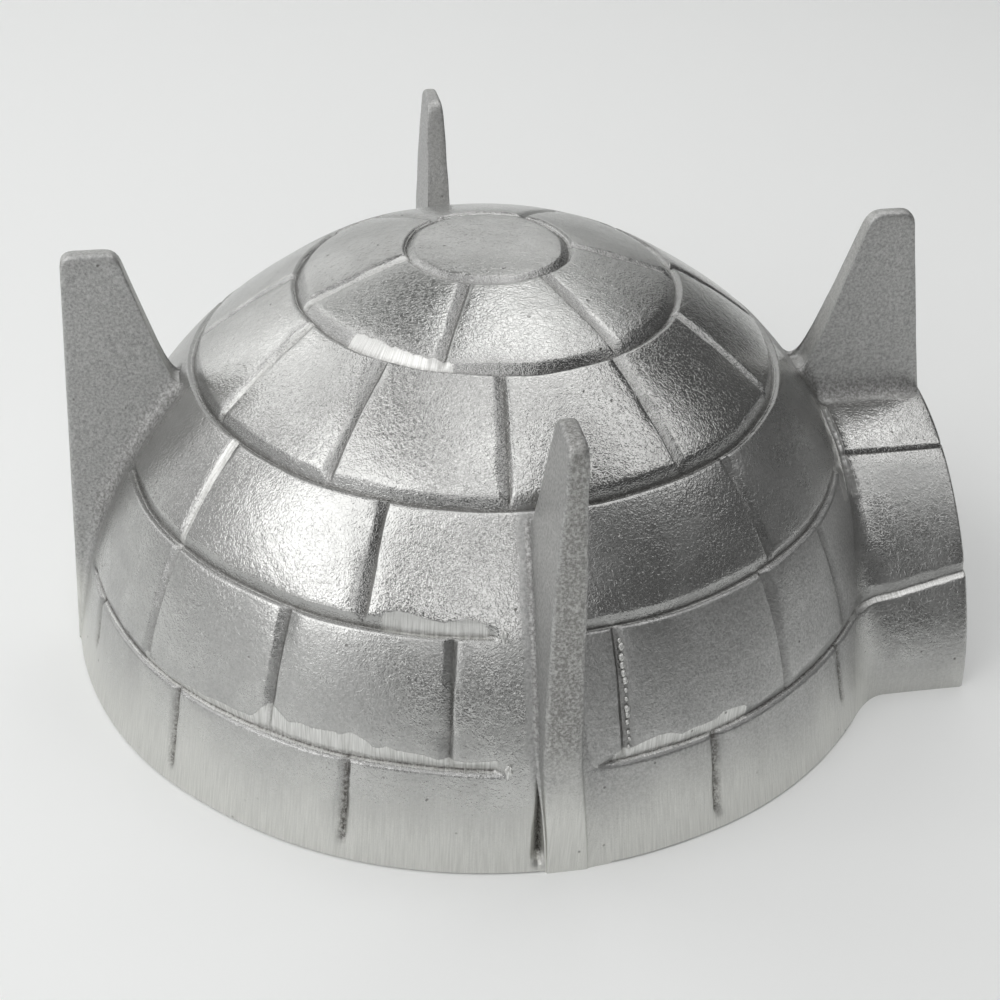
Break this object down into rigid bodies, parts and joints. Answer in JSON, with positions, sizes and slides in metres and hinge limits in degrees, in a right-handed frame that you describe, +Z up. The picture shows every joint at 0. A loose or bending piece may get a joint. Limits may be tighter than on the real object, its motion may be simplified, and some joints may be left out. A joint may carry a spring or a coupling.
{
  "type": "cake mould",
  "caption": "Cast aluminium cake mould shaped as a snow-block dome with an entrance tunnel, on legs that hold it level when it is turned over and filled.",
  "frame": {"origin": "middle of the rectangle that the mould covers, on the plane of its rim, 4.6 mm from the dome's axis towards the tunnel", "axes": "+Z up through the crown as the mould stands on its rim, +X along the entrance tunnel, -Y towards the front leg"},
  "size_m": [0.2298, 0.2206, 0.1105],
  "materials": {
    "dome_casting": "sand-cast skin with a fine grain, linished grooves and rim band",
    "tunnel_casting": "sand-cast skin with a fine grain",
    "leg_casting": "matt grey sand-cast flanks with brushed outer edges"
  },
  "bodies": {
    "root": {"dome_shell": "dome_casting", "entrance_tunnel": "tunnel_casting", "leg_front": "leg_casting", "leg_left": "leg_casting", "leg_back": "leg_casting", "leg_tunnel": "leg_casting"}
  },
  "joints": []
}
